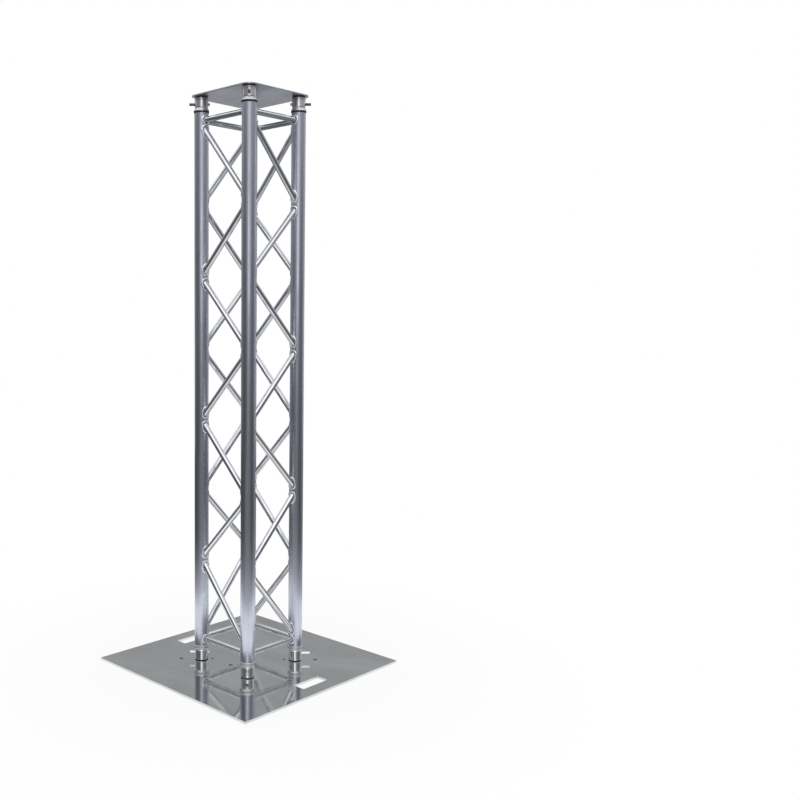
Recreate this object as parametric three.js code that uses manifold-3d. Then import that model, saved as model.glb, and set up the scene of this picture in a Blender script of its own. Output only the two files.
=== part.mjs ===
// Truss totem: a square box truss standing between a base plate and a smaller top plate.
// Millimetres, +Z up. The origin is the centre of the base plate's underside.
// The truss carries a chord tube at each corner, seven diagonal braces on each side and a tie at each end.
// Each chord ends in a socket. A conical spigot, screwed to the plate, sits in it and a tapered pin locks it.
// The screws' heads are sunk into the plates' outer faces.

import * as THREE from "three";
import { mergeVertices } from "three/addons/utils/BufferGeometryUtils.js";
import Module from "manifold-3d";

const wasm = await Module();
wasm.setup();

// Fits
const seat_gap = 0.3;
const fit_clearance = 0.3;
const cut_overrun = 5;

// Truss
const truss_length = 2000;
const chord_spacing = 240;
const chord_diameter = 50;
const chord_wall = 2;
const brace_diameter = 20;
const brace_wall = 2;

// Lattice, measured along the chords from the truss's own ends
const tie_offset = 77;
const lattice_offset = 89;
const end_bay_rise = 281;
const bays = 7;

// Socket welded into each end of a chord
const neck_step = 1;
const neck_length = 33.5;
const mouth_chamfer = 1.2;
const bevel_length = 3;
const bevel_depth = 1.7;
const valley_rise = 3.5;
const bead_height = 1.8;
const bead_width = 13;
const bead_flank = 4;
const socket_wall = 4.2;
const socket_depth = 52;
const socket_tail = 24;

// Spigot and its screw
const flange_thickness = 2.5;
const flange_inset = 1;
const spigot_length = 46;
const spigot_taper = 3;
const spigot_chamfer = 2;
const screw_diameter = 10;
const screw_hole_clearance = 0.5;
const sunk_head_diameter = 18;
const sunk_head_land = 0.3;

// Tapered locking pin
const pin_length = 72;
const pin_large_diameter = 9.5;
const pin_small_diameter = 8;
const pin_stub = 6;
const pin_chamfer = 1;
const pin_height = 22;
const clip_hole_diameter = 3;
const clip_hole_inset = 3;
const loose_pin_drawn = 11.5;

// Plates
const base_width = 762;
const base_thickness = 8;
const base_corner_radius = 3;
const top_overhang = 7.5;
const top_thickness = 5;
const top_corner_radius = 30;

// Hand slots, one near each of two opposite edges of the base plate
const slot_length = 120;
const slot_width = 45;
const slot_corner_radius = 5;
const slot_edge_distance = 52;

// Spare screw holes in the base plate for trusses of other sizes
const spare_hole_diameter = 13;
const small_hole_diameter = 9;
const wide_truss_spacing = 344;
const narrow_truss_spacing = 184;

// Facets around round pieces
const chord_sides = 24;
const brace_sides = 12;
const spigot_sides = 16;
const pin_sides = 12;
const hole_segments = 5;

// Sizes worked out from the ones above
const chord_radius = chord_diameter / 2;
const neck_radius = chord_radius - neck_step;
const bore_radius = neck_radius - socket_wall;
const truss_base = base_thickness + 2 * seat_gap + flange_thickness;
const top_width = chord_spacing + chord_diameter + 2 * top_overhang;
const top_underside = truss_base + truss_length + flange_thickness + 2 * seat_gap;

const aluminium = { color: 0xb6bac2, roughness: 0.38, metalness: 0.9 };
const machined = { color: 0xc6c9ce, roughness: 0.22, metalness: 0.95 };
const plate_finish = { color: 0x949698, roughness: 0.3, metalness: 0.85 };
const pin_finish = { color: 0xd0d2d4, roughness: 0.25, metalness: 0.95 };

const corners = [
  { name: "front_left", quarter: 5 },
  { name: "front_right", quarter: 7 },
  { name: "back_right", quarter: 1 },
  { name: "back_left", quarter: 3 },
];
const sides = ["front", "right", "back", "left"];

function solidOf(geometry) {
  const bare = geometry.clone();
  bare.deleteAttribute("normal");
  bare.deleteAttribute("uv");
  const merged = mergeVertices(bare, seat_gap / 1000);
  const vertProperties = merged.attributes.position.array;
  const triVerts = new Uint32Array(merged.index.array);
  return new wasm.Manifold(new wasm.Mesh({ numProp: 3, vertProperties, triVerts }));
}

function geometryOf(solid) {
  const mesh = solid.getMesh();
  const geometry = new THREE.BufferGeometry();
  geometry.setAttribute("position", new THREE.BufferAttribute(mesh.vertProperties, 3));
  geometry.setIndex(new THREE.BufferAttribute(mesh.triVerts, 1));
  geometry.computeVertexNormals();
  return geometry;
}

function meshOf(name, geometry, finish) {
  const mesh = new THREE.Mesh(geometry, new THREE.MeshStandardMaterial(finish));
  mesh.name = name;
  return mesh;
}

// A turned shape about Z, from [radius, height] points that run up its outside.
function turned(points, segments) {
  const profile = points.map(([radius, height]) => new THREE.Vector2(radius, height));
  return new THREE.LatheGeometry(profile, segments).rotateX(Math.PI / 2);
}

// A cone along X that holds the locking pin's sides, opened by the given clearance.
function pinCone(clearance, overrun) {
  const inner = -(neck_radius + pin_stub);
  const outer = inner + pin_length;
  const growth = (pin_large_diameter - pin_small_diameter) / 2 / pin_length;
  const start = inner - overrun;
  const end = outer + overrun;
  const start_radius = pin_small_diameter / 2 - growth * overrun + clearance;
  const end_radius = pin_large_diameter / 2 + growth * overrun + clearance;
  return { start, end, start_radius, end_radius };
}

function pinHole(height) {
  const cone = pinCone(fit_clearance, cut_overrun);
  const points = [
    [0, cone.start],
    [cone.start_radius, cone.start],
    [cone.end_radius, cone.end],
    [0, cone.end],
  ];
  return turned(points, pin_sides).rotateY(Math.PI / 2).translate(0, 0, height);
}

// Chord

// Outside of one chord end, from the mouth of its socket to the plain tube, as [radius, distance from the end].
function socketOutside() {
  const valley = neck_length + bevel_length;
  const bead = valley + valley_rise;
  const bead_end = bead + bead_width;
  const bead_radius = chord_radius + bead_height;
  return [
    [neck_radius - mouth_chamfer, 0],
    [neck_radius, mouth_chamfer],
    [neck_radius, neck_length],
    [neck_radius - bevel_depth, valley],
    [chord_radius, bead],
    [bead_radius, bead + bead_flank],
    [bead_radius, bead_end - bead_flank],
    [chord_radius, bead_end],
  ];
}

// Bore of one chord end, from the mouth inwards to the tube's own bore.
function socketInside() {
  const tail = socket_depth + socket_tail;
  const taper = spigot_taper / spigot_length;
  return [
    [bore_radius, 0],
    [bore_radius - taper * socket_depth, socket_depth],
    [bore_radius - taper * socket_depth, tail],
    [chord_radius - chord_wall, tail],
  ];
}

function chordTube() {
  const turnedRound = ([radius, distance]) => [radius, truss_length - distance];
  const outside = socketOutside();
  const inside = socketInside();
  const profile = [
    ...outside,
    ...outside.map(turnedRound).reverse(),
    ...inside.map(turnedRound),
    ...inside.slice().reverse(),
  ];
  profile.push(profile[0]);
  return solidOf(turned(profile, chord_sides))
    .subtract(solidOf(pinHole(pin_height)))
    .subtract(solidOf(pinHole(truss_length - pin_height)));
}

// Spigot

function spigotProfile(plate_thickness) {
  const head_radius = sunk_head_diameter / 2;
  const land = seat_gap + sunk_head_land;
  const flange = plate_thickness + seat_gap;
  const root = flange + flange_thickness;
  const tip = root + spigot_length;
  const flange_radius = neck_radius - flange_inset;
  const root_radius = bore_radius - fit_clearance;
  const tip_radius = root_radius - spigot_taper;
  return [
    [0, seat_gap],
    [head_radius, seat_gap],
    [head_radius, land],
    [screw_diameter / 2, land + head_radius - screw_diameter / 2],
    [screw_diameter / 2, flange],
    [flange_radius, flange],
    [flange_radius, root],
    [root_radius, root],
    [tip_radius, tip - spigot_chamfer],
    [tip_radius - spigot_chamfer, tip],
    [0, tip],
  ];
}

// Height 0 is the plate's outer face, and the spigot points up.
function spigot(plate_thickness) {
  const height = plate_thickness + flange_thickness + 2 * seat_gap + pin_height;
  const body = solidOf(turned(spigotProfile(plate_thickness), spigot_sides));
  return body.subtract(solidOf(pinHole(height)));
}

// Locking pin along X, with its narrow end on the truss's inner side.
function lockingPin() {
  const cone = pinCone(0, 0);
  const points = [
    [0, cone.start],
    [cone.start_radius - pin_chamfer, cone.start],
    [cone.start_radius, cone.start + pin_chamfer],
    [cone.end_radius, cone.end - pin_chamfer],
    [cone.end_radius - pin_chamfer, cone.end],
    [0, cone.end],
  ];
  const pin = turned(points, pin_sides).rotateY(Math.PI / 2);
  const clip_radius = clip_hole_diameter / 2;
  const hole = turned(
    [
      [0, -pin_large_diameter],
      [clip_radius, -pin_large_diameter],
      [clip_radius, pin_large_diameter],
      [0, pin_large_diameter],
    ],
    hole_segments,
  );
  hole.translate(cone.start + pin_chamfer + clip_hole_inset, 0, 0);
  return solidOf(pin).subtract(solidOf(hole));
}

// Braces and ties

// A tube between two chords, from the first chord's axis at height 0 to the second's at the given rise.
// Its ends are cut to the chords' round sides.
function copedTube(rise) {
  const angle = Math.atan2(rise, chord_spacing);
  const saddle = chord_radius + seat_gap;
  const along = new THREE.Vector3(Math.cos(angle), 0, Math.sin(angle));
  const upper = new THREE.Vector3(-Math.sin(angle), 0, Math.cos(angle));
  const across = new THREE.Vector3(0, 1, 0);

  function ring(radius, atFarChord) {
    const points = [];
    for (let side = 0; side < brace_sides; side += 1) {
      const turn = (2 * Math.PI * side) / brace_sides;
      const offset = upper.clone().multiplyScalar(radius * Math.cos(turn));
      offset.addScaledVector(across, radius * Math.sin(turn));
      const reach = Math.sqrt(saddle * saddle - offset.y * offset.y);
      const x = atFarChord ? chord_spacing - reach : reach;
      points.push(offset.addScaledVector(along, (x - offset.x) / along.x));
    }
    return points;
  }

  const outer_radius = brace_diameter / 2;
  const inner_radius = outer_radius - brace_wall;
  const rings = [
    ring(outer_radius, false),
    ring(outer_radius, true),
    ring(inner_radius, true),
    ring(inner_radius, false),
  ];
  const index = [];
  rings.forEach((points, number) => {
    const here = number * brace_sides;
    const there = ((number + 1) % rings.length) * brace_sides;
    points.forEach((point, side) => {
      const next = (side + 1) % brace_sides;
      index.push(here + side, there + side, here + next);
      index.push(here + next, there + side, there + next);
    });
  });
  const geometry = new THREE.BufferGeometry().setFromPoints(rings.flat());
  geometry.setIndex(index);
  geometry.computeVertexNormals();
  return geometry;
}

// Heights on the chords where the braces of one side meet, from the truss's top end down.
// They alternate between the side's left-hand and right-hand chord.
function latticeHeights() {
  const inner_bays = bays - 2;
  const inner_length = truss_length - 2 * lattice_offset - 2 * end_bay_rise;
  const heights = [truss_length - lattice_offset];
  for (let bay = 0; bay <= inner_bays; bay += 1) {
    heights.push(lattice_offset + end_bay_rise + (inner_length * (inner_bays - bay)) / inner_bays);
  }
  heights.push(lattice_offset);
  return heights;
}

function trussSide(side, number) {
  const group = new THREE.Group();
  group.rotation.z = (number * Math.PI) / 2;
  const first_chord = new THREE.Vector3(-chord_spacing / 2, -chord_spacing / 2, truss_base);
  const heights = latticeHeights();
  for (let bay = 0; bay < bays; bay += 1) {
    const falling = bay % 2 === 0;
    const left = falling ? heights[bay] : heights[bay + 1];
    const right = falling ? heights[bay + 1] : heights[bay];
    const brace = meshOf(`brace_${side}_${bay + 1}`, copedTube(right - left), aluminium);
    brace.position.copy(first_chord);
    brace.position.z += left;
    group.add(brace);
  }
  const ends = { top: truss_length - tie_offset, bottom: tie_offset };
  for (const [end, height] of Object.entries(ends)) {
    const tie = meshOf(`tie_${side}_${end}`, copedTube(0), aluminium);
    tie.position.copy(first_chord);
    tie.position.z += height;
    group.add(tie);
  }
  return group;
}

// Plates

function roundedRectangle(path, length_x, length_y, radius, centre_x) {
  const x = length_x / 2;
  const y = length_y / 2;
  path.moveTo(centre_x + x, -y + radius);
  path.absarc(centre_x + x - radius, y - radius, radius, 0, Math.PI / 2, false);
  path.absarc(centre_x - x + radius, y - radius, radius, Math.PI / 2, Math.PI, false);
  path.absarc(centre_x - x + radius, -y + radius, radius, Math.PI, 1.5 * Math.PI, false);
  path.absarc(centre_x + x - radius, -y + radius, radius, 1.5 * Math.PI, 2 * Math.PI, false);
  path.closePath();
  return path;
}

function roundHole(x, y, diameter) {
  const hole = new THREE.Path();
  hole.absarc(x, y, diameter / 2, 0, 2 * Math.PI, false);
  return hole;
}

function squarePattern(spacing, diameter) {
  const half = spacing / 2;
  const places = [
    [half, half],
    [-half, half],
    [-half, -half],
    [half, -half],
  ];
  return places.map(([x, y]) => roundHole(x, y, diameter));
}

// Two corners of the triangle pattern share the back screws, and this is its third.
function triangleApex() {
  const height = (chord_spacing * Math.sqrt(3)) / 2;
  return roundHole(0, chord_spacing / 2 - height, spare_hole_diameter);
}

// Where the screws pass the plate, with the head's seat; height 0 is the plate's outer face.
function screwCut(plate_thickness) {
  const radius = screw_diameter / 2 + screw_hole_clearance;
  const head_radius = sunk_head_diameter / 2 + screw_hole_clearance;
  const land = seat_gap + sunk_head_land;
  const points = [
    [0, -cut_overrun],
    [head_radius, -cut_overrun],
    [head_radius, land],
    [radius, land + head_radius - radius],
    [radius, plate_thickness + cut_overrun],
    [0, plate_thickness + cut_overrun],
  ];
  return turned(points, spigot_sides);
}

function plateSolid(shape, thickness) {
  const options = { depth: thickness, bevelEnabled: false, curveSegments: hole_segments };
  let solid = solidOf(new THREE.ExtrudeGeometry(shape, options));
  for (const corner of corners) {
    const angle = (corner.quarter * Math.PI) / 4;
    const distance = chord_spacing / Math.SQRT2;
    const cut = screwCut(thickness);
    cut.translate(distance * Math.cos(angle), distance * Math.sin(angle), 0);
    solid = solid.subtract(solidOf(cut));
  }
  return solid;
}

function basePlate() {
  const shape = roundedRectangle(new THREE.Shape(), base_width, base_width, base_corner_radius, 0);
  const slot_centre = base_width / 2 - slot_edge_distance - slot_width / 2;
  for (const centre of [slot_centre, -slot_centre]) {
    const slot = new THREE.Path();
    shape.holes.push(roundedRectangle(slot, slot_width, slot_length, slot_corner_radius, centre));
  }
  shape.holes.push(...squarePattern(wide_truss_spacing, spare_hole_diameter));
  shape.holes.push(...squarePattern(narrow_truss_spacing, small_hole_diameter));
  shape.holes.push(triangleApex());
  return meshOf("base_plate", geometryOf(plateSolid(shape, base_thickness)), plate_finish);
}

function topPlate() {
  const shape = roundedRectangle(new THREE.Shape(), top_width, top_width, top_corner_radius, 0);
  const plate = meshOf("top_plate", geometryOf(plateSolid(shape, top_thickness)), plate_finish);
  plate.position.z = top_underside + top_thickness;
  plate.rotation.x = Math.PI;
  return plate;
}

// Corner

// A plate's spigot and locking pin at one chord end, with height 0 at the plate's outer face.
function chordEnd(corner, end, plate_thickness, pin_drawn) {
  const group = new THREE.Group();
  const spigotGeometry = geometryOf(spigot(plate_thickness));
  group.add(meshOf(`spigot_${corner}_${end}`, spigotGeometry, machined));
  const pin = meshOf(`pin_${corner}_${end}`, geometryOf(lockingPin()), pin_finish);
  pin.position.x = pin_drawn;
  pin.position.z = plate_thickness + flange_thickness + 2 * seat_gap + pin_height;
  group.add(pin);
  return group;
}

// One corner of the truss, built with its outward diagonal along X and its chord's axis on Z.
function trussCorner(corner) {
  const angle = (corner.quarter * Math.PI) / 4;
  const distance = chord_spacing / Math.SQRT2;
  const group = new THREE.Group();
  group.position.set(distance * Math.cos(angle), distance * Math.sin(angle), 0);
  group.rotation.z = angle;

  const chord = meshOf(`chord_${corner.name}`, geometryOf(chordTube()), aluminium);
  chord.position.z = truss_base;
  group.add(chord);

  const drawn = corner.name === "back_right" ? loose_pin_drawn : 0;
  group.add(chordEnd(corner.name, "bottom", base_thickness, drawn));

  const top = chordEnd(corner.name, "top", top_thickness, 0);
  top.position.z = top_underside + top_thickness;
  top.rotation.x = Math.PI;
  group.add(top);
  return group;
}

const totem = new THREE.Group();
totem.add(basePlate());
totem.add(topPlate());
corners.forEach((corner) => totem.add(trussCorner(corner)));
sides.forEach((side, number) => totem.add(trussSide(side, number)));

export default totem;
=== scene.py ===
"""Looks for the truss totem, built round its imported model. Metres, +Z up."""

import math

import bmesh
import bpy
from mathutils import Matrix, Vector, noise
from mathutils.geometry import tessellate_polygon


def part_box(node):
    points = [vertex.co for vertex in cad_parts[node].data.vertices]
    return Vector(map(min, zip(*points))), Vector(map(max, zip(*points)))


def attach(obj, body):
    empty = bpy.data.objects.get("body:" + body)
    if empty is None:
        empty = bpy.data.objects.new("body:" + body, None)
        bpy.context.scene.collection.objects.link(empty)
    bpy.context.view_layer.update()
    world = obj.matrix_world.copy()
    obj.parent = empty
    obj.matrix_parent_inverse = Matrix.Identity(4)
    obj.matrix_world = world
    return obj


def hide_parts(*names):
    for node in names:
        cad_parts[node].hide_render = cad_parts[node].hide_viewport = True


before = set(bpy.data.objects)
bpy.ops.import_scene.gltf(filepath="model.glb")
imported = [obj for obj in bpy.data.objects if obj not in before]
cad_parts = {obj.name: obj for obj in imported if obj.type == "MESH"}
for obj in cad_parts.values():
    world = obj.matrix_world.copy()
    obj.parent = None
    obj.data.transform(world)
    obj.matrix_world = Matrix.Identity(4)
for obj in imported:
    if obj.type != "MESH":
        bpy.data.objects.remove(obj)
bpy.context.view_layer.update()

# Truss tubes
chord_radius = 0.025
chord_sides = 96
brace_radius = 0.010
brace_wall = 0.002
brace_sink = 0.0004
brace_sides = 40

# Lattice, measured along the chords from the truss's ends
tie_offset = 0.077
lattice_offset = 0.089
end_bay_rise = 0.281
bays = 7

# Socket at each end of a chord
neck_radius = 0.024
neck_length = 0.0335
mouth_chamfer = 0.0012
bevel_length = 0.003
bevel_depth = 0.0017
valley_rise = 0.0035
# How far down from the upper mouth the painted shade and reflection reach
mouth_shade_width = 0.014
socket_bore = 0.0198
socket_depth = 0.052
socket_tail = 0.024
chord_bore = 0.023
machined_round = 0.0004
machined_round_steps = 2

# Spigot and its screw
flange_radius = 0.023
flange_thickness = 0.0025
spigot_root = 0.0195
spigot_tip = 0.0165
spigot_nose = 0.002
spigot_length = 0.046
spigot_sides = 64
seat_gap = 0.0003
screw_radius = 0.005
screw_head_radius = 0.009
screw_head_land = 0.0003
screw_reach = 0.012
screw_round = 0.0003
screw_sides = 48
screw_hole_clearance = 0.0005
hex_key = 0.008
hex_depth = 0.0035
key_sides = 6

# Locking pin and its hole through a neck
pin_height = 0.022
pin_length = 0.072
pin_large_radius = 0.00475
pin_small_radius = 0.004
pin_round = 0.0011
pin_round_steps = 4
pin_sides = 48
pin_hole_inner = 0.0043
pin_hole_outer = 0.0049
pin_hole_sides = 40
# Depth and fade of the paler, rougher zone at a bottom pin's large end
pale_end_depth = 0.0007
pale_end_fade = 0.0006
clip_hole_radius = 0.0015
clip_hole_inset = 0.004
clip_hole_sides = 24

# Plates
base_corner_radius = 0.003
top_corner_radius = 0.030
corner_steps = 8
least_bend = 0.0002
plate_edge = 0.0006
edge_steps = 3
slot_size = Vector((0.045, 0.120))
slot_corner_radius = 0.005
slot_edge_distance = 0.052
spare_hole_radius = 0.0065
small_hole_radius = 0.0045
hole_sides = 40
thread_pitch = 0.00175
wide_truss_spacing = 0.344
narrow_truss_spacing = 0.184

# Weld beads
weld_ring_radius = 0.0136
weld_ring_length_share = 1.2
weld_half_width = 0.0040
weld_height = 0.0027
weld_sink = 0.0008
weld_valley_radius = 0.0114
weld_fullness = 0.9
weld_sides = 16
ripple_pitch = 0.0028
ripple_depth_share = 0.13
ripple_middle_share = 0.6
ripple_roundness = 0.6
ripple_steps = 5
uneven_share = 0.12
uneven_per_metre = 260.0
socket_weld_width = 0.013
socket_weld_height = 0.0018
socket_weld_sink = 0.0012
socket_weld_fullness = 0.75
socket_toe_share = 0.1

# Edges stay sharp past these angles, in degrees
sharp_angle = 32
plate_sharp_angle = 40
bead_sharp_angle = 80

# How far a cutting solid runs past what it cuts, and the slack when faces are told apart
bore_overrun = 0.004
key_overrun = 0.002
slack = 0.0001

# Relief of the finishes, and how far their noise shifts along each axis from piece to piece
lathe_relief = 0.00003
line_relief = 0.00004
grain_relief = 0.00006
band_relief = 0.0003
thread_relief = 0.0004
cloud_relief = 0.002
noise_shift = (3.1, 5.3, 1.7)

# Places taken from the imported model
base_low, base_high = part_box("base_plate")
top_low, top_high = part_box("top_plate")
chord_low, chord_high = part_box("chord_front_right")
chord_spacing = chord_low.x + chord_high.x
truss_base = chord_low.z
truss_length = chord_high.z - chord_low.z
socket_end = neck_length + bevel_length + valley_rise
corners = {"front_left": (-1, -1), "front_right": (1, -1), "back_right": (1, 1), "back_left": (-1, 1)}
sides = ["front", "right", "back", "left"]


# Mesh helpers


def mesh_from(name, vertices, faces, zones=None, sharp_degrees=sharp_angle):
    """A smooth mesh whose edges stay sharp past the given angle. zones gives each face's material index."""
    mesh = bpy.data.meshes.new(name)
    mesh.from_pydata([tuple(v) for v in vertices], [], faces)
    if zones:
        mesh.polygons.foreach_set("material_index", zones)
    mesh.validate()
    shade(mesh, sharp_degrees)
    return mesh


def shade(mesh, sharp_degrees=sharp_angle):
    mesh.polygons.foreach_set("use_smooth", [True] * len(mesh.polygons))
    mesh.set_sharp_from_angle(angle=math.radians(sharp_degrees))
    mesh.update()


def soften(points, radius, steps, closed=False):
    """The same outline with each corner turned into a small round of the given reach. A point just past
    each end of the round keeps the shading of the long faces straight."""
    longest_share, guard_share = 0.4, 1.2
    made = []
    count = len(points)
    for i, here in enumerate(points):
        if not closed and i in (0, count - 1):
            made.append(here)
            continue
        corner = Vector(here)
        before = Vector(points[i - 1]) - corner
        after = Vector(points[(i + 1) % count]) - corner
        reach = min(radius, longest_share * before.length, longest_share * after.length)
        start = corner + before.normalized() * reach
        end = corner + after.normalized() * reach
        made.append(tuple(corner + before.normalized() * reach * guard_share))
        for step in range(steps + 1):
            t = step / steps
            point = start * (1 - t) ** 2 + corner * 2 * t * (1 - t) + end * t**2
            made.append(tuple(point))
        made.append(tuple(corner + after.normalized() * reach * guard_share))
    return made


def turned(profile, segments, closed=False):
    """Vertices and faces of [radius, height] points turned about Z. The points run up the outside.
    A profile that isn't closed starts and ends on the axis."""
    vertices, rings, faces = [], [], []
    for radius, height in profile:
        if not closed and radius == 0:
            rings.append([len(vertices)])
            vertices.append((0, 0, height))
            continue
        rings.append(list(range(len(vertices), len(vertices) + segments)))
        for i in range(segments):
            turn = 2 * math.pi * i / segments
            vertices.append((radius * math.cos(turn), radius * math.sin(turn), height))
    following = rings[1:] + rings[:1] if closed else rings[1:]
    for low, high in zip(rings, following):
        for i in range(segments):
            j = (i + 1) % segments
            if len(low) == 1:
                faces.append((low[0], high[j], high[i]))
            elif len(high) == 1:
                faces.append((low[i], low[j], high[0]))
            else:
                faces.append((low[i], low[j], high[j], high[i]))
    return vertices, faces


def turned_mesh(name, profile, segments, closed=False):
    return mesh_from(name, *turned(profile, segments, closed))


def placed(name, data, matrix=Matrix()):
    """A new object in the scene."""
    made = bpy.data.objects.new(name, data)
    bpy.context.scene.collection.objects.link(made)
    made.matrix_world = matrix
    return made


def cut(mesh, cutter):
    """The mesh with the cutter's solid taken out of it."""
    body, tool = placed("body", mesh), placed("tool", cutter)
    modifier = body.modifiers.new("cut", "BOOLEAN")
    modifier.operation = "DIFFERENCE"
    modifier.solver = "EXACT"
    modifier.object = tool
    evaluated = body.evaluated_get(bpy.context.evaluated_depsgraph_get())
    made = bpy.data.meshes.new_from_object(evaluated)
    made.name = mesh.name
    for item in (body, tool):
        bpy.data.objects.remove(item)
    shade(made)
    return made


def moved(mesh, matrix):
    mesh.transform(matrix)
    return mesh


def joined(name, parts):
    """One mesh from (mesh, material index or None) pairs. None keeps the part's own indices."""
    made = bmesh.new()
    for mesh, zone in parts:
        before = len(made.faces)
        made.from_mesh(mesh)
        made.faces.ensure_lookup_table()
        if zone is not None:
            for face in made.faces[before:]:
                face.material_index = zone
    result = bpy.data.meshes.new(name)
    made.to_mesh(result)
    made.free()
    return result


def piece(name, mesh, matrix, body, slot, finishes, *nodes):
    """Adds a shown piece, which rides on a body and stands for CAD nodes."""
    if not mesh.materials:
        for finish in finishes:
            mesh.materials.append(finish)
    made = placed(name, mesh, matrix)
    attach(made, body)
    if nodes:
        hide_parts(*nodes)


# Materials


class Nodes:
    """Short calls that add nodes to one node tree."""

    def __init__(self, tree):
        self.tree = tree

    def add(self, kind, inputs, **settings):
        node = self.tree.nodes.new(kind)
        for key, value in settings.items():
            setattr(node, key, value)
        for key, value in inputs.items():
            if isinstance(value, bpy.types.NodeSocket):
                self.tree.links.new(value, node.inputs[key])
            else:
                node.inputs[key].default_value = value
        return node

    def vector(self, operation, a, b=(0, 0, 0), result="Vector"):
        return self.add("ShaderNodeVectorMath", {0: a, 1: b}, operation=operation).outputs[result]

    def height(self, place):
        """How far up Z a place lies, or a direction points."""
        return self.add("ShaderNodeSeparateXYZ", {0: place}).outputs["Z"]

    def remap(self, value, low, high, to_low, to_high):
        inputs = {"Value": value, "From Min": low, "From Max": high, "To Min": to_low, "To Max": to_high}
        return self.add("ShaderNodeMapRange", inputs).outputs["Result"]

    def math(self, operation, a, b=0.0):
        return self.add("ShaderNodeMath", {0: a, 1: b}, operation=operation).outputs[0]

    def mix(self, share, a, b):
        node = self.add("ShaderNodeMix", {"Factor": share}, data_type="RGBA")
        for key, value in (("A", a), ("B", b)):
            socket = next(s for s in node.inputs if s.name == key and s.type == "RGBA")
            if isinstance(value, bpy.types.NodeSocket):
                self.tree.links.new(value, socket)
            else:
                socket.default_value = (*value, 1.0)
        return next(s for s in node.outputs if s.type == "RGBA")

    def bump(self, height, strength, distance, normal=None):
        inputs = {"Height": height, "Strength": strength, "Distance": distance}
        if normal:
            inputs["Normal"] = normal
        return self.add("ShaderNodeBump", inputs).outputs["Normal"]

    def mix_shaders(self, share, a, b):
        return self.add("ShaderNodeMixShader", {0: share, 1: a, 2: b}).outputs[0]

    def emission(self, color, strength):
        return self.add("ShaderNodeEmission", {"Color": (*color, 1.0), "Strength": strength}).outputs[0]

    def steps(self, value, rows):
        """Straight steps between (value, result) rows."""
        low, high = rows[0][0], rows[-1][0]
        node = self.add("ShaderNodeValToRGB", {0: self.remap(value, low, high, 0.0, 1.0)})
        stops = node.color_ramp.elements
        while len(stops) < len(rows):
            stops.new(0.5)
        for stop, (at, result) in zip(stops, rows):
            stop.position = (at - low) / (high - low)
            stop.color = (result, result, result, 1.0)
        return node.outputs[0]

    def background_ray(self):
        """1 for the rays that see the background: straight from the camera, or through metal and glass."""
        rays = self.add("ShaderNodeLightPath", {}).outputs
        seen = self.math("MAXIMUM", rays["Is Camera Ray"], rays["Is Glossy Ray"])
        return self.math("MAXIMUM", seen, rays["Is Transmission Ray"])


class Finish(Nodes):
    """A procedural material on one Principled shader, whose noise differs from piece to piece."""

    def __init__(self, name, metallic, anisotropic=0.0):
        self.material = bpy.data.materials.new(name)
        self.material.use_nodes = True
        super().__init__(self.material.node_tree)
        self.shader = self.tree.nodes["Principled BSDF"]
        self.shader.inputs["Metallic"].default_value = metallic
        self.shader.inputs["Anisotropic"].default_value = anisotropic
        self.bare_place = self.add("ShaderNodeTexCoord", {}).outputs["Object"]
        seed = self.add("ShaderNodeObjectInfo", {}).outputs["Random"]
        self.place = self.vector("ADD", self.bare_place, self.vector("MULTIPLY", seed, noise_shift))

    def noise(self, scale, detail, rough, place=None):
        """Noise in features per metre along each axis."""
        scaled = self.vector("MULTIPLY", place or self.place, scale)
        inputs = {"Vector": scaled, "Scale": 1.0, "Detail": detail, "Roughness": rough}
        return self.add("ShaderNodeTexNoise", inputs).outputs["Fac"]

    def brushed_round_z(self):
        tangent = self.add("ShaderNodeTangent", {}, direction_type="RADIAL", axis="Z")
        self.tree.links.new(tangent.outputs[0], self.shader.inputs["Tangent"])

    def finish(self, color, roughness, normal):
        self.tree.links.new(color, self.shader.inputs["Base Color"])
        self.tree.links.new(roughness, self.shader.inputs["Roughness"])
        self.tree.links.new(normal, self.shader.inputs["Normal"])
        return self.material

    def finish_with(self, shader):
        """The material with another shader in place of the Principled one."""
        output = next(node for node in self.tree.nodes if node.type == "OUTPUT_MATERIAL")
        self.tree.links.new(shader, output.inputs["Surface"])
        return self.material


def extruded_aluminium():
    """Mill-finish chord tube: die lines along Z that blur reflections sideways, faint blotches and rubs."""
    f = Finish("extruded_aluminium", 1.0, 0.85)
    f.brushed_round_z()
    lines = f.noise((1500, 1500, 6), 3.0, 0.6)
    bands = f.noise((110, 110, 1.6), 3.0, 0.5)
    blotches = f.noise((14, 14, 9), 4.0, 0.6)
    rubs = f.remap(f.noise((60, 60, 22), 5.0, 0.65), 0.62, 0.72, 0.0, 1.0)
    tone = f.mix(f.remap(bands, 0.35, 0.65, 0.0, 1.0), (0.60, 0.62, 0.71), (0.69, 0.71, 0.80))
    tone = f.mix(f.remap(blotches, 0.4, 0.7, 0.0, 0.4), tone, (0.52, 0.53, 0.62))
    tone = f.mix(f.math("MULTIPLY", rubs, 0.3), tone, (0.78, 0.79, 0.85))
    rough = f.remap(lines, 0.35, 0.65, 0.2, 0.32)
    rough = f.math("ADD", rough, f.remap(blotches, 0.35, 0.7, -0.03, 0.05))
    normal = f.bump(lines, 0.12, line_relief)
    normal = f.bump(bands, 0.2, band_relief, normal)
    return f.finish(tone, rough, normal)


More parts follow.
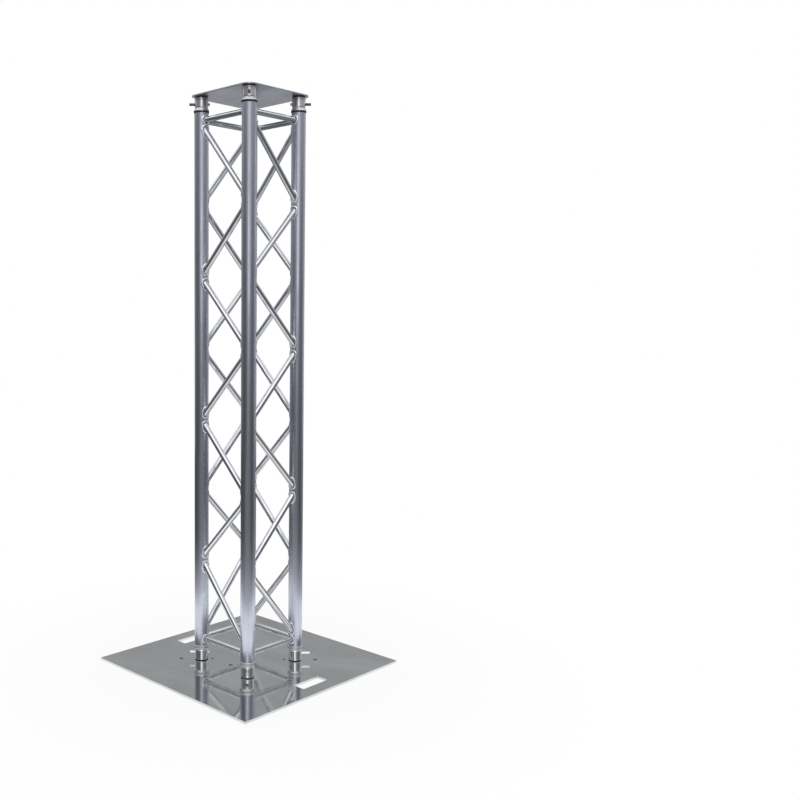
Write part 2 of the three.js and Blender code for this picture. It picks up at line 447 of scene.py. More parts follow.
def drawn_aluminium():
    """Brighter drawn tube of the braces and ties, with fine lengthwise lines and handling dulls."""
    f = Finish("drawn_aluminium", 1.0, 0.35)
    f.brushed_round_z()
    lines = f.noise((1300, 1300, 9), 3.0, 0.55)
    bands = f.noise((220, 220, 4), 2.0, 0.5)
    dulls = f.noise((45, 45, 26), 4.0, 0.6)
    tone = f.mix(f.remap(bands, 0.35, 0.65, 0.0, 1.0), (0.71, 0.72, 0.74), (0.83, 0.835, 0.85))
    tone = f.mix(f.remap(dulls, 0.5, 0.72, 0.0, 0.5), tone, (0.6, 0.605, 0.64))
    rough = f.remap(lines, 0.3, 0.7, 0.05, 0.11)
    rough = f.math("ADD", rough, f.remap(dulls, 0.45, 0.7, 0.0, 0.1))
    return f.finish(tone, rough, f.bump(lines, 0.2, line_relief))


def turned_aluminium(name, low_rough, high_rough):
    """Machined socket neck: fine lathe rings round Z, light rubs where pins and hands touch, and painted
    brownish shade and reflection at the truss's upper end, just under the top plate."""
    f = Finish(name, 1.0)
    rings = f.noise((6, 6, 2600), 3.0, 0.5)
    wear = f.noise((90, 90, 120), 4.0, 0.65)
    tone = f.mix(f.remap(wear, 0.45, 0.7, 0.0, 0.6), (0.91, 0.91, 0.92), (0.76, 0.765, 0.78))
    # Painted shade and painted reflection: a dark brownish patchy band at the upper mouth only, under the top
    # plate.
    height = f.height(f.bare_place)
    near_mouth = f.remap(height, truss_length - mouth_shade_width, truss_length - mouth_shade_width / 2, 0.0, 1.0)
    spots = f.remap(f.noise((260, 260, 200), 3.0, 0.6), 0.4, 0.6, 0.35, 1.0)
    tone = f.mix(f.math("MULTIPLY", near_mouth, spots), tone, (0.46, 0.34, 0.35))
    rough = f.remap(rings, 0.3, 0.7, low_rough, high_rough)
    rough = f.math("ADD", rough, f.remap(wear, 0.5, 0.75, 0.0, 0.08))
    return f.finish(tone, rough, f.bump(rings, 0.12, lathe_relief))


def weld_metal(name, pale, dark, low_rough, high_rough):
    """Weld bead, slightly grainy, with dull flecks between its ripples."""
    f = Finish(name, 1.0)
    grain = f.noise((1500, 1500, 1500), 3.0, 0.6)
    flecks = f.noise((330, 330, 330), 4.0, 0.7)
    tone = f.mix(f.remap(flecks, 0.45, 0.7, 0.0, 0.7), pale, dark)
    rough = f.remap(grain, 0.3, 0.7, low_rough, high_rough)
    return f.finish(tone, rough, f.bump(grain, 0.3, grain_relief))


def weld_soot():
    """Painted shade: near-black patchy colour in the toe of a bead, under the upper socket bead and in the
    crease beside a brace.
    """
    f = Finish("weld_soot", 0.0)
    grain = f.noise((900, 900, 900), 3.0, 0.6)
    patches = f.noise((160, 160, 60), 4.0, 0.65)
    tone = f.mix(f.remap(patches, 0.5, 0.7, 0.0, 1.0), (0.012, 0.012, 0.014), (0.07, 0.07, 0.08))
    rough = f.remap(grain, 0.3, 0.7, 0.55, 0.8)
    return f.finish(tone, rough, f.bump(grain, 0.3, grain_relief))


def rolled_plate(name, dark, pale, low_rough, high_rough, scratched=0.0):
    """Rolled sheet with fine lines along X and faint clouding, scratched as strongly as asked."""
    f = Finish(name, 1.0)
    lines = f.noise((7, 900, 900), 4.0, 0.6)
    clouds = f.noise((5, 7, 5), 4.0, 0.55)
    smears = f.noise((16, 50, 16), 5.0, 0.65)
    tone = f.mix(f.remap(clouds, 0.35, 0.65, 0.0, 1.0), dark, pale)
    rough = f.remap(lines, 0.3, 0.7, low_rough, high_rough)
    rough = f.math("ADD", rough, f.remap(smears, 0.5, 0.75, 0.0, 0.08))
    if scratched:
        scratches = scratch_mask(f, scratched)
        tone = f.mix(scratches, tone, (0.86, 0.87, 0.88))
        rough = f.math("ADD", rough, f.math("MULTIPLY", scratches, 0.25))
    normal = f.bump(lines, 0.12, lathe_relief)
    normal = f.bump(clouds, 0.12, cloud_relief, normal)
    return f.finish(tone, rough, normal)


def scratch_mask(f, strength):
    """Thin bright scratches: narrow crests of stretched noise, kept only in a few patches."""
    total = None
    for turn, seed in ((0.35, 1.0), (1.2, 2.0), (2.3, 3.0)):
        rotated = f.add("ShaderNodeVectorRotate", {"Vector": f.place, "Angle": turn}, rotation_type="Z_AXIS")
        stripes = f.noise((9, 420, 9), 1.0, 0.4, rotated.outputs[0])
        crest = f.math("ABSOLUTE", f.math("SUBTRACT", stripes, 0.5))
        thin = f.remap(crest, 0.0, 0.012, 1.0, 0.0)
        patches = f.noise((11 + seed, 13, 7 + seed), 3.0, 0.6, rotated.outputs[0])
        part = f.math("MULTIPLY", thin, f.remap(patches, 0.6, 0.68, 0.0, strength))
        total = f.math("MAXIMUM", total, part) if total else part
    return total


def tapped_wall():
    """Wall of a screw hole in a plate: thread grooves along Z, coloured near-black as painted shade in the
    recess, with paler painted highlights on the crests.
    """
    f = Finish("tapped_wall", 1.0)
    turns = f.math("MULTIPLY", f.height(f.bare_place), 2 * math.pi / thread_pitch)
    grooves = f.math("SINE", turns)
    shade_patches = f.noise((300, 300, 300), 4.0, 0.65)
    # Painted shade: near-black patches; painted highlight: paler thread crests.
    tone = f.mix(f.remap(shade_patches, 0.4, 0.7, 0.0, 1.0), (0.03, 0.03, 0.035), (0.16, 0.16, 0.17))
    tone = f.mix(f.remap(grooves, 0.5, 1.0, 0.0, 0.5), tone, (0.6, 0.6, 0.62))
    rough = f.remap(shade_patches, 0.3, 0.7, 0.25, 0.45)
    return f.finish(tone, rough, f.bump(grooves, 0.8, thread_relief))


def plated_steel(name, pale, dark, low_rough, high_rough, pale_end_from=None):
    """Plated steel of the pins and screws, scuffed at random. A pin's large end, past pale_end_from, is
    paler and rougher."""
    f = Finish(name, 1.0)
    fine = f.noise((500, 500, 1800), 3.0, 0.55)
    scuffs = f.noise((140, 140, 70), 4.0, 0.65)
    tone = f.mix(f.remap(scuffs, 0.45, 0.7, 0.0, 1.0), pale, dark)
    rough = f.remap(fine, 0.3, 0.7, low_rough, high_rough)
    if pale_end_from:
        pale_end = f.remap(f.height(f.bare_place), pale_end_from, pale_end_from + pale_end_fade, 0.0, 1.0)
        tone = f.mix(pale_end, tone, (0.97, 0.97, 0.98))
        rough = f.math("ADD", rough, f.math("MULTIPLY", pale_end, 0.35))
    return f.finish(tone, rough, f.bump(fine, 0.2, line_relief))


extruded = extruded_aluminium()
drawn = drawn_aluminium()
machined = turned_aluminium("turned_aluminium", 0.02, 0.07)
bevelled = turned_aluminium("turned_bevel", 0.24, 0.34)
bright_weld = weld_metal("weld_bright", (0.97, 0.97, 0.99), (0.7, 0.7, 0.74), 0.13, 0.26)
satin_weld = weld_metal("weld_satin", (0.78, 0.78, 0.81), (0.5, 0.5, 0.55), 0.26, 0.4)
# Near-black painted shade for the toes of weld beads
toe_shade_finish = weld_soot()
tapped = tapped_wall()
base_finish = rolled_plate(
    "rolled_plate_bright", (0.63, 0.635, 0.63), (0.74, 0.745, 0.735), 0.04, 0.095, scratched=0.55
)
top_finish = rolled_plate("rolled_plate_satin", (0.56, 0.575, 0.63), (0.64, 0.655, 0.71), 0.26, 0.36)
pale_end_face = pin_length / 2 - pale_end_depth
# The top pins get a near-black copy of the pins' steel as painted shade; the bottom pins get the pale one.
pin_finishes = {
    "bottom": plated_steel("zinc_steel", (0.9, 0.9, 0.91), (0.72, 0.72, 0.74), 0.12, 0.24, pale_end_face),
    "top": plated_steel("tarnished_steel", (0.13, 0.125, 0.12), (0.05, 0.05, 0.055), 0.2, 0.34),
}
screw_finish = plated_steel("dark_screw_steel", (0.3, 0.3, 0.31), (0.16, 0.16, 0.17), 0.28, 0.42)
# The spigot's flange gets a near-black copy of the steel finish: painted shade for the narrow gap between
# socket and plate.
flange_shade_finish = plated_steel("dark_flange", (0.14, 0.14, 0.15), (0.05, 0.05, 0.055), 0.3, 0.45)


# Weld beads


def ripple_count(length):
    return max(1, round(length / ripple_pitch))


def rippled_bead(path, half_width, height, fullness):
    """A closed bead swept along (point, outward, along) frames, with overlapping weld ripples. Its section is
    an ellipse at fullness 1 and grows boxier below that."""
    vertices, faces = [], []
    count = len(path)
    ripples = ripple_count(sum((path[i][0] - path[i - 1][0]).length for i in range(count)))
    for i, (centre, outward, along) in enumerate(path):
        phase = (i * ripples / count) % 1.0
        crest = math.sin(math.pi * phase) ** ripple_roundness
        uneven = noise.noise(centre * uneven_per_metre)
        swell = 1.0 + ripple_depth_share * (crest - ripple_middle_share) + uneven_share * uneven
        sideways = outward.cross(along).normalized()
        for k in range(weld_sides):
            turn = 2 * math.pi * k / weld_sides
            up = math.copysign(abs(math.cos(turn)) ** fullness, math.cos(turn))
            side = math.copysign(abs(math.sin(turn)) ** fullness, math.sin(turn))
            offset = outward * up * height + sideways * side * half_width
            vertices.append(centre + offset * swell)
    for i in range(count):
        here, there = i * weld_sides, (i + 1) % count * weld_sides
        for k in range(weld_sides):
            m = (k + 1) % weld_sides
            faces.append((here + k, here + m, there + m, there + k))
    return vertices, faces


def bead_mesh(path, half_width, height, fullness):
    vertices, faces = rippled_bead(path, half_width, height, fullness)
    made = mesh_from("bead", vertices, faces, sharp_degrees=bead_sharp_angle)
    fixed = bmesh.new()
    fixed.from_mesh(made)
    bmesh.ops.recalc_face_normals(fixed, faces=fixed.faces)
    fixed.to_mesh(made)
    fixed.free()
    return made


def socket_weld(height):
    """The bead that joins a socket to its chord, round the chord's end."""
    count = ripple_count(2 * math.pi * chord_radius) * ripple_steps
    path = []
    for i in range(count):
        turn = 2 * math.pi * i / count
        outward = Vector((math.cos(turn), math.sin(turn), 0))
        along = Vector((-math.sin(turn), math.cos(turn), 0))
        point = outward * (chord_radius - socket_weld_sink) + Vector((0, 0, height))
        path.append((point, outward, along))
    bead_height = socket_weld_sink + socket_weld_height
    return bead_mesh(path, socket_weld_width / 2, bead_height, socket_weld_fullness)


# Braces and ties, built along local Z from one chord's axis to the next

brace_finishes = [drawn, bright_weld, toe_shade_finish]
brace_zone, brace_bead_zone, brace_toe_shade_zone = range(len(brace_finishes))


def slant(rise):
    """Cosine and sine of a brace's slope."""
    angle = math.atan2(rise, chord_spacing)
    return math.cos(angle), math.sin(angle)


def saddle_point(radius, turn, rise, far, chord_reach):
    """A point where a tube of that radius meets a round chord, and the chord's normal there."""
    cos_a, sin_a = slant(rise)
    across, upper = radius * math.sin(turn), radius * math.cos(turn)
    reach = math.sqrt(chord_reach**2 - across**2)
    level = chord_spacing - reach if far else reach
    side = -reach if far else reach
    normal = Vector((across, -sin_a * side, cos_a * side)).normalized()
    return Vector((across, upper, (level + upper * sin_a) / cos_a)), normal


def tube_mesh(rise):
    vertices, faces = [], []
    bore = brace_radius - brace_wall
    loops = [(brace_radius, False), (brace_radius, True), (bore, True), (bore, False)]
    for radius, far in loops:
        for i in range(brace_sides):
            turn = 2 * math.pi * i / brace_sides
            vertices.append(saddle_point(radius, turn, rise, far, chord_radius - brace_sink)[0])
    for loop in range(len(loops)):
        here, there = loop * brace_sides, (loop + 1) % len(loops) * brace_sides
        for i in range(brace_sides):
            j = (i + 1) % brace_sides
            faces.append((here + i, there + i, there + j, here + j))
    return mesh_from("tube", vertices, faces)


def brace_weld(rise, far):
    """The flat ring of weld on the chord's surface round a brace's end."""
    count = ripple_count(2 * math.pi * weld_ring_radius * weld_ring_length_share) * ripple_steps
    turns = [2 * math.pi * i / count for i in range(count)]
    seat = chord_radius - weld_sink
    points = [saddle_point(weld_ring_radius, turn, rise, far, seat) for turn in turns]
    path = []
    for i, (centre, outward) in enumerate(points):
        along = (points[(i + 1) % count][0] - points[i - 1][0]).normalized()
        outward = (outward - along * outward.dot(along)).normalized()
        path.append((centre, outward, along))
    bead = bead_mesh(path, weld_half_width, weld_height + weld_sink, weld_fullness)
    # The bead's inner toe, in the crease against the brace, gets the painted shade.
    for face in bead.polygons:
        in_valley = face.center.xy.length < weld_valley_radius
        face.material_index = brace_toe_shade_zone if in_valley else brace_bead_zone
    return bead


def brace_mesh(rise):
    parts = [(tube_mesh(rise), brace_zone), (brace_weld(rise, False), None), (brace_weld(rise, True), None)]
    return joined("brace_tube", parts)


def lattice_heights():
    inner_rise = (truss_length - 2 * lattice_offset - 2 * end_bay_rise) / (bays - 2)
    inner = [lattice_offset + end_bay_rise + inner_rise * step for step in range(bays - 1)]
    return [truss_length - lattice_offset, *inner[::-1], lattice_offset]


def add_lattice():
    heights = lattice_heights()
    meshes = {}
    for number, side in enumerate(sides):
        rows = []
        for bay, ends in enumerate(zip(heights, heights[1:])):
            left, right = ends if bay % 2 == 0 else ends[::-1]
            rows.append((f"brace_{side}_{bay + 1}", left, right - left))
        rows.append((f"tie_{side}_top", truss_length - tie_offset, 0.0))
        rows.append((f"tie_{side}_bottom", tie_offset, 0.0))
        turn = Matrix.Rotation(number * math.pi / 2, 4, "Z")
        for node, height, rise in rows:
            key = round(rise / slack)
            if key not in meshes:
                meshes[key] = brace_mesh(rise)
            cos_a, sin_a = slant(rise)
            start = Vector((-chord_spacing / 2, -chord_spacing / 2, truss_base + height))
            axes = Matrix(((0, -sin_a, cos_a), (1, 0, 0), (0, cos_a, sin_a))).to_4x4()
            matrix = turn @ Matrix.Translation(start) @ axes
            piece(f"fine_{node}", meshes[key], matrix, "totem", "tube", brace_finishes, node)


# Chords

chord_finishes = [extruded, machined, satin_weld, toe_shade_finish, bevelled]
chord_zone, neck_zone, bead_zone, toe_shade_zone, bevel_zone = range(len(chord_finishes))


def chord_profile():
    """Socket and tube as [radius, height] points: up the outside and down the bore."""
    outside = [
        (socket_bore, 0),
        (neck_radius - mouth_chamfer, 0),
        (neck_radius, mouth_chamfer),
        (neck_radius, neck_length),
        (neck_radius - bevel_depth, neck_length + bevel_length),
        (chord_radius, socket_end),
    ]
    taper = (spigot_root - spigot_tip) / spigot_length
    deep = socket_bore - taper * socket_depth
    tail_end = socket_depth + socket_tail
    inside = [(deep, socket_depth), (deep, tail_end), (chord_bore, tail_end)]
    far_outside = [(radius, truss_length - height) for radius, height in reversed(outside)]
    far_inside = [(radius, truss_length - height) for radius, height in inside]
    loop = outside + far_outside + far_inside + inside[::-1]
    return soften(loop, machined_round, machined_round_steps, closed=True)


def pin_cone(height):
    """The pin's hole at that height, along X from the truss's inner side outwards."""
    half = chord_radius + bore_overrun
    profile = [(0, -half), (pin_hole_inner, -half), (pin_hole_outer, half), (0, half)]
    mesh = turned_mesh("cone", profile, pin_hole_sides)
    return moved(mesh, Matrix.Translation((0, 0, height)) @ Matrix.Rotation(math.pi / 2, 4, "Y"))


def chord_face_zone(face):
    """Which finish a face of a chord gets: the socket's bore and neck, the bevel, or the tube."""
    from_end = min(face.center.z, truss_length - face.center.z)
    if face.center.xy.length < (socket_bore + neck_radius) / 2:
        return neck_zone
    if neck_length < from_end < neck_length + bevel_length:
        return bevel_zone
    return neck_zone if from_end < socket_end else chord_zone


def chord_mesh():
    mesh = turned_mesh("chord", chord_profile(), chord_sides, closed=True)
    for height in (pin_height, truss_length - pin_height):
        mesh = cut(mesh, pin_cone(height))
    for face in mesh.polygons:
        face.material_index = chord_face_zone(face)
    crest = socket_end + socket_weld_width / 2
    low, high = socket_weld(crest), socket_weld(truss_length - crest)
    # Only the lower toe of the upper bead, which faces down, gets the painted shade; the lower bead stays
    # bright.
    toe = truss_length - crest - socket_weld_width * socket_toe_share
    for face in high.polygons:
        face.material_index = toe_shade_zone if face.center.z < toe else bead_zone
    return joined("chord_tube", [(mesh, None), (low, bead_zone), (high, None)])


def corner_turn(corner):
    """Turns local X outwards, away from the truss's axis."""
    x, y = corners[corner]
    return Matrix.Rotation(math.atan2(y, x), 4, "Z")


def corner_matrix(corner, height):
    x, y = corners[corner]
    place = Vector((x * chord_spacing / 2, y * chord_spacing / 2, height))
    return Matrix.Translation(place) @ corner_turn(corner)


def add_chords():
    mesh = chord_mesh()
    for corner in corners:
        matrix = corner_matrix(corner, truss_base)
        piece(f"fine_chord_{corner}", mesh, matrix, "totem", "tube", chord_finishes, f"chord_{corner}")


# Spigots, screws and pins

spigot_finishes = [machined, flange_shade_finish]
cone_zone, flange_zone = range(len(spigot_finishes))


def spigot_mesh(plate_thickness):
    """Flange and cone, with height 0 at the plate's outer face, and the bore for the screw's shank."""
    flange = plate_thickness + seat_gap
    root = flange + flange_thickness
    tip = root + spigot_length
    profile = [
        (screw_radius, flange),
        (flange_radius, flange),
        (flange_radius, root),
        (spigot_root, root),
        (spigot_tip, tip - spigot_nose),
        (spigot_tip - spigot_nose, tip),
        (screw_radius, tip),
    ]
    profile = soften(profile, machined_round, machined_round_steps, closed=True)
    mesh = turned_mesh("spigot", profile, spigot_sides, closed=True)
    mesh = cut(mesh, pin_cone(root + seat_gap + pin_height))
    for face in mesh.polygons:
        # Faces of the flange get the painted-shade finish.
        face.material_index = flange_zone if face.center.z < root + slack else cone_zone
    return mesh


def screw_mesh(plate_thickness):
    """Sunk screw with a hexagon socket; its shank ends inside the spigot."""
    land = seat_gap + screw_head_land
    tip = plate_thickness + flange_thickness + screw_reach
    profile = [
        (0, seat_gap),
        (screw_head_radius, seat_gap),
        (screw_head_radius, land),
        (screw_radius, land + screw_head_radius - screw_radius),
        (screw_radius, tip),
        (0, tip),
    ]
    mesh = turned_mesh("screw", soften(profile, screw_round, machined_round_steps), screw_sides)
    radius = hex_key / 2 / math.cos(math.pi / key_sides)
    key_end = seat_gap + hex_depth
    key = [(0, -key_overrun), (radius, -key_overrun), (radius, key_end), (0, key_end)]
    return cut(mesh, turned_mesh("key", key, key_sides))


def pin_mesh():
    """Tapered pin along Z about its own middle, narrow end down, with a hole for its clip."""
    half = pin_length / 2
    profile = [(0, -half), (pin_small_radius, -half), (pin_large_radius, half), (0, half)]
    mesh = turned_mesh("pin", soften(profile, pin_round, pin_round_steps), pin_sides)
    reach = 2 * pin_large_radius
    hole = [(0, -reach), (clip_hole_radius, -reach), (clip_hole_radius, reach), (0, reach)]
    across = Matrix.Translation((0, 0, clip_hole_inset - half)) @ Matrix.Rotation(math.pi / 2, 4, "X")
    return cut(mesh, moved(turned_mesh("hole", hole, clip_hole_sides), across))


def add_couplers():
    lying = Matrix.Rotation(math.pi / 2, 4, "Y")
    upside_down = Matrix.Rotation(math.pi, 4, "X")
    ends = {"bottom": (base_low, base_high, base_low.z), "top": (top_low, top_high, top_high.z)}
    for end, (low, high, outer_face) in ends.items():
        thickness = high.z - low.z
        spigot, screw, pin = spigot_mesh(thickness), screw_mesh(thickness), pin_mesh()
        for corner in corners:
            matrix = corner_matrix(corner, outer_face)
            if end == "top":
                matrix = matrix @ upside_down
            node = f"spigot_{corner}_{end}"
            piece(f"fine_{node}", spigot, matrix, "totem", "machined", spigot_finishes, node)
            piece(f"screw_{corner}_{end}", screw, matrix, "totem", "machined", [screw_finish])
            node = f"pin_{corner}_{end}"
            pin_low, pin_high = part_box(node)
            matrix = Matrix.Translation((pin_low + pin_high) / 2) @ corner_turn(corner) @ lying
            piece(f"fine_{node}", pin, matrix, node, "pin", [pin_finishes[end]], node)


# Plates

# Screw and spare hole walls get the near-black tapped finish, painted shade for the recess.
sheet_zone, tapped_zone = range(2)


def rounded_ring(centre, size, radius):
    """A function that gives a rounded rectangle shrunk by an inset, running anticlockwise."""

    def ring(inset):
        half = Vector(size) / 2 - Vector((inset, inset))
        bend = max(radius - inset, least_bend)
        points = []
        for quarter, (x, y) in enumerate(((1, 1), (-1, 1), (-1, -1), (1, -1))):
            middle = Vector(centre) + Vector((x * (half.x - bend), y * (half.y - bend)))
            for step in range(corner_steps + 1):
                turn = math.pi / 2 * (quarter + step / corner_steps)
                points.append(middle + Vector((math.cos(turn), math.sin(turn))) * bend)
        return points

    return ring


def round_ring(centre, radius):
    """The same for a circle."""

    def ring(inset):
        turns = [2 * math.pi * i / hole_sides for i in range(hole_sides)]
        spokes = [Vector((math.cos(turn), math.sin(turn))) for turn in turns]
        return [Vector(centre) + spoke * (radius - inset) for spoke in spokes]

    return ring


def edge_profile(thickness):
    """[inset, height] points up a plate's side, with its two edges rounded."""
    points = []
    for height, start in ((plate_edge, -1.0), (thickness - plate_edge, 0.0)):
        for step in range(edge_steps + 1):
            turn = math.pi / 2 * (start + step / edge_steps)
            points.append((plate_edge * (1 - math.cos(turn)), height + plate_edge * math.sin(turn)))
    return points


def sunk_profile(thickness):
    """[inset, height] points up a screw hole, from the sunk head's seat to the inner face."""
    head = screw_head_radius - screw_radius
    land = seat_gap + screw_head_land
    return [
        (head + plate_edge / 2, 0),
        (head, plate_edge / 2),
        (head, land),
        (0, land + head),
        (0, thickness - plate_edge / 2),
        (plate_edge / 2, thickness),
    ]


def plate_mesh(name, outer, holes, thickness):
    """A plate from its outline and its holes, each a (ring function, profile, wall's zone) row.
    Height 0 is the outer face."""
    vertices, faces, zones, caps = [], [], [], ([], [])
    for number, (ring, profile, zone) in enumerate([outer, *holes]):
        sign = 1 if number == 0 else -1
        starts = []
        for inset, height in profile:
            starts.append(len(vertices))
            points = ring(sign * inset)
            vertices.extend((p.x, p.y, height) for p in points)
        count = len(points)
        for low, high in zip(starts, starts[1:]):
            for i in range(count):
                j = (i + 1) % count
                quad = (low + i, low + j, high + j, high + i)
                faces.append(quad if number == 0 else quad[::-1])
                zones.append(zone)
        caps[0].append(range(starts[0], starts[0] + count))
        caps[1].append(range(starts[-1], starts[-1] + count))
    for loops, up in zip(caps, (False, True)):
        flat = [i for loop in loops for i in loop]
        outlines = [[Vector(vertices[i]) for i in loop] for loop in loops]
        for a, b, c in tessellate_polygon(outlines):
            corner = [Vector(vertices[flat[i]]) for i in (a, b, c)]
            faces_up = (corner[1] - corner[0]).cross(corner[2] - corner[0]).z > 0
            faces.append((flat[a], flat[b], flat[c]) if faces_up == up else (flat[c], flat[b], flat[a]))
            zones.append(sheet_zone)
    mesh = mesh_from(name, vertices, faces, zones, plate_sharp_angle)
    keep_caps_flat(mesh)
    return mesh


def keep_caps_flat(mesh):
    """Marks the rim of the flat faces sharp, so that their shading stays flat."""
    nearly_level = 0.9999
    work = bmesh.new()
    work.from_mesh(mesh)
    for edge in work.edges:
        flat = [abs(face.normal.z) > nearly_level for face in edge.link_faces]
        if any(flat) and not all(flat):
            edge.smooth = False
    work.to_mesh(mesh)
    work.free()


def square_places(spacing):
    return [(x * spacing / 2, y * spacing / 2) for x in (-1, 1) for y in (-1, 1)]


def spare_holes():
    """Centre and radius of the screw holes for a wider, a narrower and a three-chord truss."""
    wide = [(centre, spare_hole_radius) for centre in square_places(wide_truss_spacing)]
    narrow = [(centre, small_hole_radius) for centre in square_places(narrow_truss_spacing)]
    apex = (0, chord_spacing / 2 - chord_spacing * math.sqrt(3) / 2)
    return [*wide, *narrow, (apex, spare_hole_radius)]


def screw_holes(thickness):
    radius = screw_radius + screw_hole_clearance
    profile = sunk_profile(thickness)
    return [(round_ring(centre, radius), profile, tapped_zone) for centre in square_places(chord_spacing)]


def add_base_plate():
    width = base_high.x - base_low.x
    thickness = base_high.z - base_low.z
    profile = edge_profile(thickness)
    outer = (rounded_ring((0, 0), (width, width), base_corner_radius), profile, sheet_zone)
    slot_x = width / 2 - slot_edge_distance - slot_size.x / 2
    slots = [rounded_ring((x, 0), slot_size, slot_corner_radius) for x in (-slot_x, slot_x)]
    holes = [(ring, profile, sheet_zone) for ring in slots]
    holes += [(round_ring(centre, radius), profile, tapped_zone) for centre, radius in spare_holes()]
    holes += screw_holes(thickness)
    mesh = plate_mesh("base_sheet", outer, holes, thickness)
    matrix = Matrix.Translation((0, 0, base_low.z))
    piece("fine_base_plate", mesh, matrix, "totem", "plate", [base_finish, tapped], "base_plate")


def add_top_plate():
    width = top_high.x - top_low.x
    thickness = top_high.z - top_low.z
    outer = (rounded_ring((0, 0), (width, width), top_corner_radius), edge_profile(thickness), sheet_zone)
    mesh = plate_mesh("top_sheet", outer, screw_holes(thickness), thickness)
    matrix = Matrix.Translation((0, 0, top_high.z)) @ Matrix.Rotation(math.pi, 4, "X")
    piece("fine_top_plate", mesh, matrix, "totem", "plate", [top_finish, tapped], "top_plate")


add_base_plate()
add_top_plate()
add_chords()
add_lattice()
add_couplers()


# Camera, solved from the photograph. The sensor is in millimetres, and bearing, tilt and roll in degrees

photo_side = 800
sensor_width = 36.0
focal_pixels = 951.75
principal_point = Vector((245.195, 384.65))
nearest_seen, farthest_seen = 0.05, 60.0
camera_place = Vector((2.42941, -2.35481, 1.25631))
camera_bearing = 136.1322
camera_tilt = -4.1776
camera_roll = 0.1759


def add_camera():
    data = bpy.data.cameras.new("camera")
    data.sensor_width = sensor_width
    data.lens = focal_pixels * sensor_width / photo_side
    data.shift_x = 0.5 - principal_point.x / photo_side
    data.shift_y = principal_point.y / photo_side - 0.5
    data.clip_start, data.clip_end = nearest_seen, farthest_seen
    matrix = Matrix.Translation(camera_place)
    turns = ((camera_bearing - 90, "Z"), (camera_tilt + 90, "X"), (camera_roll, "Z"))
    for degrees, axis in turns:
        matrix = matrix @ Matrix.Rotation(math.radians(degrees), 4, axis)
    bpy.context.scene.camera = placed("camera", data, matrix)


# Studio

floor_radius = 9.0
floor_sides = 96
room_radius = 5.5
room_height = 1.0
room_segments, room_rings = 96, 48
shadow_fades_from, shadow_ends_at = 0.5, 1.2
shadow_share = 0.1
softbox_place = Vector((0.4, -0.4, 4.4))
softbox_target = Vector((0, 0, 1))
softbox_side = 3.6
softbox_power = 27
world_fill = 0.55

# Light of the paper on the floor, by distance from the totem's axis
paper = [
    (0.0, 1.05), (0.86, 1.0), (0.97, 0.7), (1.1, 0.46), (1.35, 0.28), (1.7, 0.15), (2.2, 0.09), (3.2, 0.09),
]
paper_in_front = [(1.0, 0.0), (1.3, 0.14), (3.0, 0.16)]
paper_behind = [(1.0, 0.0), (1.3, 0.2), (3.0, 0.2)]

# Light of the room's wall, by the sine of the angle above the room's middle
front_wall = [
    (-0.2, 0.08), (-0.1, 0.1), (0.1, 0.12), (0.2, 0.16), (0.42, 0.22), (0.52, 1.1), (0.7, 1.2), (0.84, 1.1),
    (0.9, 0.08), (1.0, 0.05),
]
rear_wall = [
    (-0.2, 0.08), (-0.1, 0.11), (0.1, 0.15), (0.2, 0.2), (0.35, 0.3), (0.45, 0.4), (0.58, 1.0), (0.84, 1.1),
    (0.9, 0.08), (1.0, 0.05),
]
camera_glow = [(-0.2, 0.09), (-0.05, 0.12), (0.1, 0.26), (0.3, 0.36), (0.36, 0.36), (0.4, 0.14), (0.5, 0.0)]
camera_streak = [
    (-0.2, 0.15), (0.0, 0.22), (0.1, 0.85), (0.2, 0.8), (0.28, 0.4), (0.45, 0.6), (0.6, 0.5), (0.85, 0.8),
    (0.95, 0.0),
]
right_glow = [(-0.2, 0.24), (0.0, 0.38), (0.3, 0.33), (0.45, 0.0)]
left_glow = [(height, 0.45 * light) for height, light in right_glow]
rear_glow = [
    (-0.2, 0.34), (-0.1, 0.5), (0.0, 0.42), (0.1, 0.22), (0.2, 0.215), (0.28, 0.13), (0.35, 0.1), (0.5, 0.04),
    (0.6, 0.0),
]

# Glows: bearing, half width and soft edge in degrees, sharpness, and light. Bearings run from the camera to
# its right
bright_sector = (-28, 72, 20)
floor_glows = [(-5, 50, 50, 1, paper_in_front), (125, 40, 25, 1, paper_behind)]
wall_glows = [
    (6, 50, 50, 2, camera_glow),
    (0, 16, 8, 1, camera_streak),
    (122, 35, 15, 1, right_glow),
    (-125, 32, 20, 1, left_glow),
    (180, 55, 25, 1, rear_glow),
]


def towards(f, bearing, half_width, soft):
    """1 near one bearing and 0 beyond the half width."""
    to_camera = Vector((camera_place.x, camera_place.y, 0)).normalized()
    aim = Matrix.Rotation(math.radians(bearing), 3, "Z") @ to_camera
    level = f.vector("NORMALIZE", f.vector("MULTIPLY", f.bare_place, (1, 1, 0)))
    nearness = f.vector("DOT_PRODUCT", level, aim, "Value")
    edge = math.cos(math.radians(half_width))
    inner = math.cos(math.radians(half_width - soft))
    return f.remap(nearness, edge, inner, 0.0, 1.0)


def with_glows(f, light, measure, glows):
    """A light and its glows, which follow a measure such as height or distance."""
    for bearing, half_width, soft, sharpness, rows in glows:
        near = f.math("POWER", towards(f, bearing, half_width, soft), sharpness)
        light = f.math("ADD", light, f.math("MULTIPLY", near, f.steps(measure, rows)))
    return light


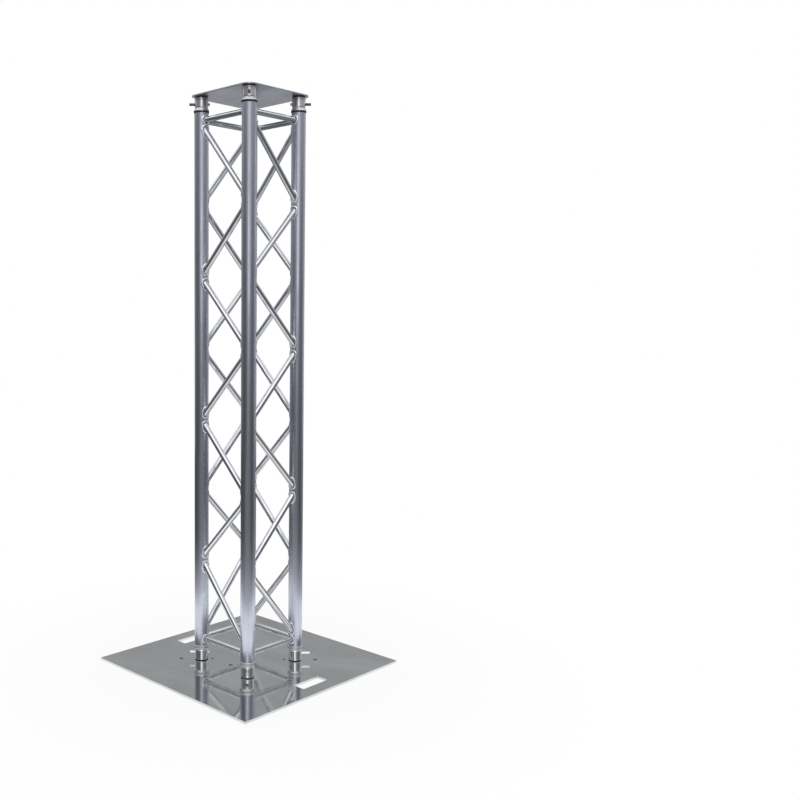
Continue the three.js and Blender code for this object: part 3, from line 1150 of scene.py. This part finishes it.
def add_floor():
    """White for the camera, with the totem's shadow. In metal, white paper that ends about a metre out."""
    bpy.ops.mesh.primitive_circle_add(vertices=floor_sides, radius=floor_radius, fill_type="NGON")
    floor = bpy.context.object
    floor.name = "studio_floor"
    f = Finish("studio_floor", 0.0)
    distance = f.vector("LENGTH", f.bare_place, result="Value")
    lit = f.add("ShaderNodeBsdfDiffuse", {"Color": (0.95, 0.95, 0.95, 1.0)}).outputs[0]
    white = f.emission((1, 1, 1), 1.0)
    whiteness = f.remap(distance, shadow_fades_from, shadow_ends_at, 1 - shadow_share, 1.0)
    with_shadow = f.mix_shaders(whiteness, lit, white)
    light = with_glows(f, f.steps(distance, paper), distance, floor_glows)
    in_metal = f.emission((0.96, 0.98, 1.0), light)
    camera_ray = f.add("ShaderNodeLightPath", {}).outputs["Is Camera Ray"]
    seen = f.mix_shaders(camera_ray, in_metal, with_shadow)
    floor.data.materials.append(f.finish_with(f.mix_shaders(f.background_ray(), lit, seen)))


def add_room():
    """The studio's walls and ceiling, seen only in the metal and as its soft light."""
    middle = (0, 0, room_height)
    bpy.ops.mesh.primitive_uv_sphere_add(
        segments=room_segments, ring_count=room_rings, radius=room_radius, location=middle
    )
    room = bpy.context.object
    room.name = "studio_room"
    room.visible_camera = False
    f = Finish("studio_room", 0.0)
    height = f.height(f.vector("NORMALIZE", f.bare_place))
    front = towards(f, *bright_sector)
    light = f.math("MULTIPLY", front, f.steps(height, front_wall))
    rear = f.math("MULTIPLY", f.math("SUBTRACT", 1.0, front), f.steps(height, rear_wall))
    light = with_glows(f, f.math("ADD", light, rear), height, wall_glows)
    room.data.materials.append(f.finish_with(f.emission((0.95, 0.97, 1.0), light)))


def add_softbox():
    data = bpy.data.lights.new("overhead", "AREA")
    data.size = softbox_side
    data.energy = softbox_power
    turn = (softbox_target - softbox_place).to_track_quat("-Z", "Y")
    placed("overhead", data, Matrix.Translation(softbox_place) @ turn.to_matrix().to_4x4())


def add_world():
    """White behind the totem, and a fill of light for what lies outside the room."""
    world = bpy.data.worlds.new("studio")
    bpy.context.scene.world = world
    world.use_nodes = True
    nodes = Nodes(world.node_tree)
    background = nodes.tree.nodes["Background"]
    background.inputs["Color"].default_value = (1, 1, 1, 1)
    strength = nodes.remap(nodes.background_ray(), 0.0, 1.0, world_fill, 1.0)
    nodes.tree.links.new(strength, background.inputs["Strength"])


add_camera()
add_floor()
add_room()
add_softbox()
add_world()

bpy.context.scene.view_settings.view_transform = "Standard"
